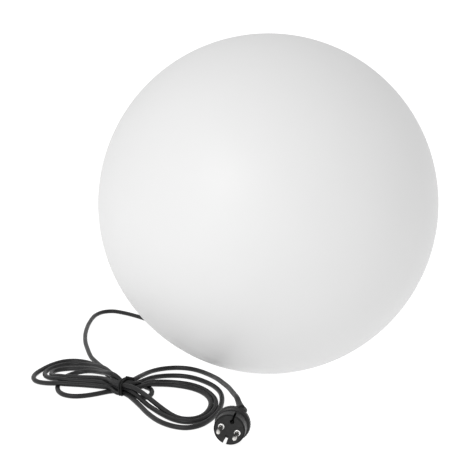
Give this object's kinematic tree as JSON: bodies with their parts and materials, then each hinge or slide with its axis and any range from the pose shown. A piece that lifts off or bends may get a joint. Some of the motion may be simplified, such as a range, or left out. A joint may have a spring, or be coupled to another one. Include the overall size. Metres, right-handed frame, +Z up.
{
  "type": "floating pool light",
  "caption": "White globe lamp on a sealed plinth, with lampholder and bulb inside and a mains cord tied in a hank with a plug.",
  "frame": {"origin": "middle of the plinth's foot, on the ground", "axes": "+Z up, and the plug's face looks towards -Y"},
  "size_m": [0.5369, 0.5805, 0.444],
  "materials": {
    "white_polyethylene": "satin",
    "black_plastic": "satin",
    "seal_rubber": "matt",
    "steel": "bright zinc",
    "brass": "bright",
    "holder_plastic": "gloss",
    "holder_ceramic": "matt",
    "bulb_metal": "satin",
    "bulb_glass_insulator": "gloss",
    "bulb_housing_plastic": "satin",
    "bulb_diffuser_plastic": "frosted",
    "circuit_board": "matt",
    "cord_rubber": "matt",
    "core_brown_plastic": "satin",
    "core_blue_plastic": "satin",
    "plug_rubber": "satin",
    "plug_nickel": "bright nickel"
  },
  "bodies": {
    "plinth": {"base_cup": "black_plastic", "base_seal": "seal_rubber", "base_screw_1": "steel", "base_screw_2": "steel", "base_screw_3": "steel", "base_screw_4": "steel", "gland_body": "black_plastic", "gland_washer": "seal_rubber", "gland_locknut": "black_plastic", "gland_insert": "seal_rubber", "gland_dome_nut": "black_plastic", "holder_bracket": "steel", "bracket_screw_left": "steel", "bracket_screw_right": "steel", "holder_stem": "brass", "stem_nut": "brass", "holder_cap": "holder_plastic", "holder_core": "holder_ceramic", "holder_skirt": "holder_plastic", "holder_screw_shell": "brass", "holder_centre_contact": "brass", "terminal_screw_left": "brass", "terminal_screw_right": "brass", "cord_inside": "cord_rubber", "core_brown": "core_brown_plastic", "core_blue": "core_blue_plastic", "cord_lead": "cord_rubber", "cord_hank": "cord_rubber", "cord_tie": "black_plastic", "cord_tail": "cord_rubber", "plug_body": "plug_rubber", "plug_carrier": "plug_rubber", "plug_pin_left": "plug_nickel", "plug_pin_right": "plug_nickel", "pin_collar_left": "plug_nickel", "pin_collar_right": "plug_nickel"},
    "globe": {"globe_shell": "white_polyethylene"},
    "bulb": {"bulb_tip": "bulb_metal", "bulb_insulator": "bulb_glass_insulator", "bulb_cap": "bulb_metal", "bulb_housing": "bulb_housing_plastic", "bulb_diffuser": "bulb_diffuser_plastic", "led_board": "circuit_board"}
  },
  "joints": [
    {"name": "globe_lift", "type": "slide", "parent": "plinth", "child": "globe", "axis": [0, 0, 1], "range_m": [0, 0.27]},
    {"name": "bulb_out", "type": "slide", "parent": "plinth", "child": "bulb", "axis": [0, 0, 1], "range_m": [0, 0.032]}
  ]
}
